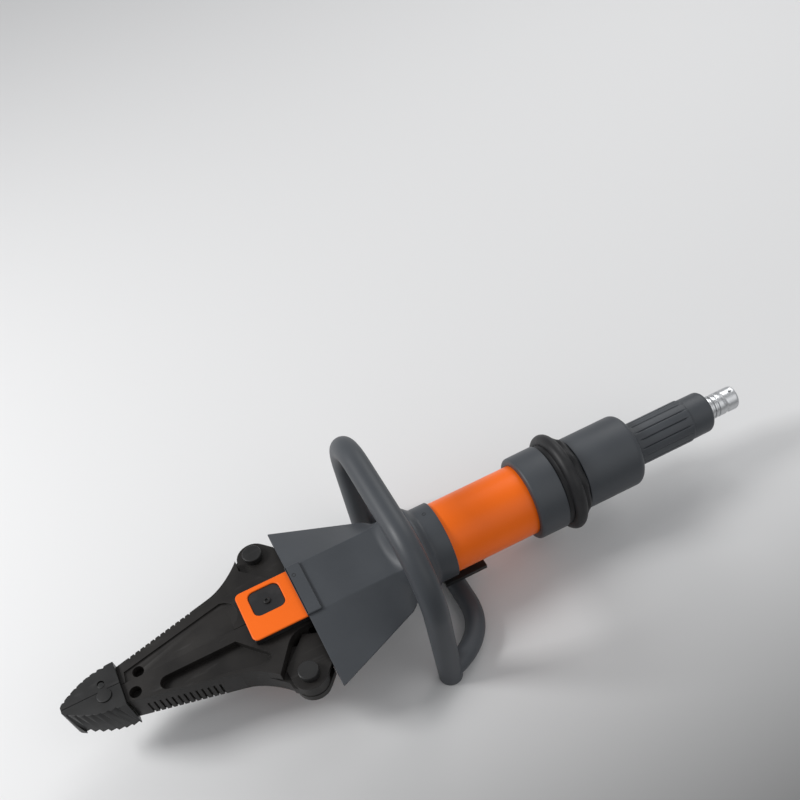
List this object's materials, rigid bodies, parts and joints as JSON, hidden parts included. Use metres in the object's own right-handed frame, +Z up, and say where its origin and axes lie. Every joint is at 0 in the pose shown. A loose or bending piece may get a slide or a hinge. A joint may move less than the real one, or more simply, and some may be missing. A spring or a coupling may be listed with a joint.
{
  "type": "rescue spreader",
  "caption": "Hydraulic rescue spreader: toothed arms that swing apart, wide cover, loop handle, cylinder, twist control ring and rear grip with hose coupler.",
  "frame": {"origin": "bottom centre of the bounding box, at the height of the loop handle's feet", "axes": "+X along the tool towards the operator's grip, +Y to the operator's right, +Z up out of the flat arms"},
  "size_m": [0.769, 0.244, 0.1927],
  "materials": {
    "grey_coating": "satin dark grey coating",
    "orange_paint": "satin orange paint",
    "orange_plate": "matt orange paint",
    "ring_rubber": "soft matt rubber",
    "seal_rubber": "smooth seal rubber",
    "black_casting": "blackened, satin",
    "tip_steel": "blackened hardened steel",
    "black_steel": "blackened steel",
    "bronze": "turned",
    "dark_insert": "matt",
    "coupler_steel": "bright turned steel",
    "inner_steel": "ground steel"
  },
  "bodies": {
    "root": {"bracket_bolt_front": "black_steel", "bracket_bolt_rear": "black_steel", "coupler_bayonet_pin": "coupler_steel", "coupler_body": "coupler_steel", "cover": "grey_coating", "cover_lip_screw": "black_steel", "cylinder_end_cap": "inner_steel", "cylinder_tube": "orange_paint", "end_cap_seal": "seal_rubber", "front_housing": "grey_coating", "handle_bracket": "black_steel", "left_pivot_nut": "black_steel", "left_pivot_pin": "black_steel", "left_strut": "grey_coating", "loop_handle": "grey_coating", "lower_guard_insert": "dark_insert", "lower_guard_plate": "orange_plate", "lower_guard_screw": "black_steel", "oil_feed_tube": "inner_steel", "rear_grip": "grey_coating", "rear_housing": "grey_coating", "right_pivot_nut": "black_steel", "right_pivot_pin": "black_steel", "right_strut": "grey_coating", "rod_guide": "bronze", "rod_seal": "seal_rubber", "rod_wiper": "seal_rubber", "upper_guard_insert": "dark_insert", "upper_guard_plate": "orange_plate", "upper_guard_screw": "black_steel", "valve_body": "inner_steel", "yoke": "black_casting"},
    "right_arm": {"right_arm": "black_casting", "right_tip": "tip_steel", "right_tip_pin": "black_steel", "right_pivot_bush": "bronze", "right_link_pin": "inner_steel"},
    "left_arm": {"left_arm": "black_casting", "left_tip": "tip_steel", "left_tip_pin": "black_steel", "left_pivot_bush": "bronze", "left_link_pin": "inner_steel"},
    "right_link": {"right_link": "inner_steel"},
    "left_link": {"left_link": "inner_steel"},
    "rod": {"crosshead": "inner_steel", "right_crosshead_pin": "inner_steel", "left_crosshead_pin": "inner_steel", "piston_rod": "inner_steel", "piston": "inner_steel", "piston_seal": "seal_rubber", "piston_nut": "inner_steel"},
    "control_ring": {"control_ring": "ring_rubber", "control_ring_hub": "inner_steel", "valve_spool": "inner_steel", "spool_drive_pin": "inner_steel"},
    "poppet": {"coupler_poppet": "bronze"}
  },
  "joints": [
    {"name": "right_arm_pivot", "type": "hinge", "parent": "root", "child": "right_arm", "pos_m": [-0.1525, 0.08, 0.0715], "axis": [0, 0, -1], "range_deg": [0, 60]},
    {"name": "left_arm_pivot", "type": "hinge", "parent": "root", "child": "left_arm", "pos_m": [-0.1525, -0.08, 0.0715], "axis": [0, 0, 1], "range_deg": [0, 60]},
    {"name": "right_link_pivot", "type": "hinge", "parent": "right_arm", "child": "right_link", "pos_m": [-0.1185, 0.02111, 0.0715], "axis": [0, 0, 1], "range_deg": [0, 60]},
    {"name": "left_link_pivot", "type": "hinge", "parent": "left_arm", "child": "left_link", "pos_m": [-0.1185, -0.02111, 0.0715], "axis": [0, 0, -1], "range_deg": [0, 60]},
    {"name": "rod_slide", "type": "slide", "parent": "root", "child": "rod", "axis": [-1, 0, 0], "range_m": [0, 0.0681]},
    {"name": "control_ring_twist", "type": "hinge", "parent": "root", "child": "control_ring", "pos_m": [0.17, 0, 0.0715], "axis": [1, 0, 0], "range_deg": [-30, 30], "stiffness_Nm_per_rad": 1},
    {"name": "coupler_poppet_slide", "type": "slide", "parent": "root", "child": "poppet", "axis": [-1, 0, 0], "range_m": [0, 0.003], "stiffness_N_per_m": 1500}
  ],
  "couplings": [
    {"joint": "left_arm_pivot", "follows": "right_arm_pivot", "ratio": 1},
    {"joint": "right_link_pivot", "follows": "right_arm_pivot", "ratio": 1},
    {"joint": "left_link_pivot", "follows": "right_arm_pivot", "ratio": 1},
    {"joint": "rod_slide", "follows": "right_arm_pivot", "m_per_rad": 0.06494}
  ]
}
